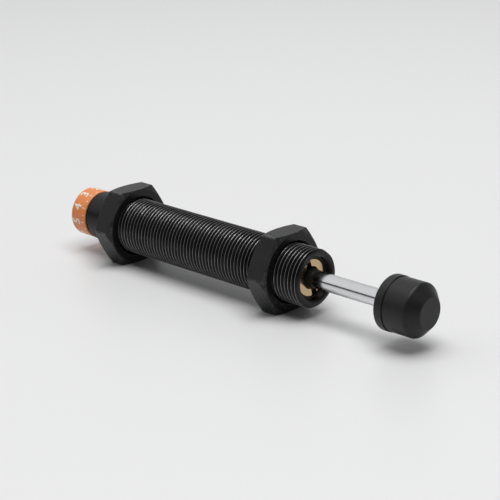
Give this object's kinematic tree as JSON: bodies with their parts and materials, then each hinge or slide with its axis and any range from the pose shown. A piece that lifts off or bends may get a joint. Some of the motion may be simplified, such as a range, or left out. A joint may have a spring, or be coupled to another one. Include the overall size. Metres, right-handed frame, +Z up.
{
  "type": "industrial shock absorber",
  "caption": "Small hydraulic shock absorber with a threaded body, hex mounting nuts, a chrome rod and a black striking cap.",
  "frame": {"origin": "centre of the housing's front face, on the axis", "axes": "+X out along the rod to the striking cap, +Z up when it lies on two flats of its nuts, Y across"},
  "size_m": [0.1579, 0.0312, 0.027],
  "materials": {
    "black_steel": "black oxide, satin",
    "nut_black": "black oxide over machined steel, satin",
    "band_orange": "satin orange sleeve",
    "screw_steel": "darkened steel",
    "chrome": "hard chrome, ground and polished",
    "brass": "machined brass",
    "urethane": "matte moulded urethane",
    "seal_rubber": "matte rubber",
    "seal_plastic": "stiff white ring",
    "foam": "closed-cell foam",
    "bronze": "machined bearing bronze",
    "steel": "machined steel",
    "spring_steel": "drawn spring wire"
  },
  "bodies": {
    "body": {"housing": "black_steel", "end_band": "band_orange", "fill_screw": "screw_steel", "fill_screw_seal": "seal_plastic", "front_retainer": "brass", "wiper_ring": "seal_rubber", "backup_ring": "seal_plastic", "rod_seal": "seal_rubber", "rod_bearing": "bronze", "bearing_o_ring": "seal_rubber", "accumulator_foam": "foam", "pressure_tube": "steel", "tube_base": "steel", "return_spring": "spring_steel"},
    "rod": {"piston_rod": "chrome", "rebound_washer": "seal_plastic", "piston": "steel", "piston_lock_nut": "steel", "cap_insert": "steel", "striking_cap": "urethane"},
    "check_ring": {"check_ring": "bronze"},
    "front_nut": {"front_nut": "nut_black"},
    "rear_nut": {"rear_nut": "nut_black"}
  },
  "joints": [
    {"name": "rod_stroke", "type": "slide", "parent": "body", "child": "rod", "axis": [1, 0, 0], "range_m": [-0.03, 0], "stiffness_N_per_m": 493, "springref_m": 0.0165, "deforming": ["return_spring"]},
    {"name": "check_ring_float", "type": "slide", "parent": "rod", "child": "check_ring", "axis": [1, 0, 0], "range_m": [-0.0005, 0]},
    {"name": "front_nut_travel", "type": "slide", "parent": "body", "child": "front_nut", "axis": [1, 0, 0], "range_m": [-0.032, 0.009]},
    {"name": "rear_nut_travel", "type": "slide", "parent": "body", "child": "rear_nut", "axis": [1, 0, 0], "range_m": [-0.0035, 0.032]}
  ]
}
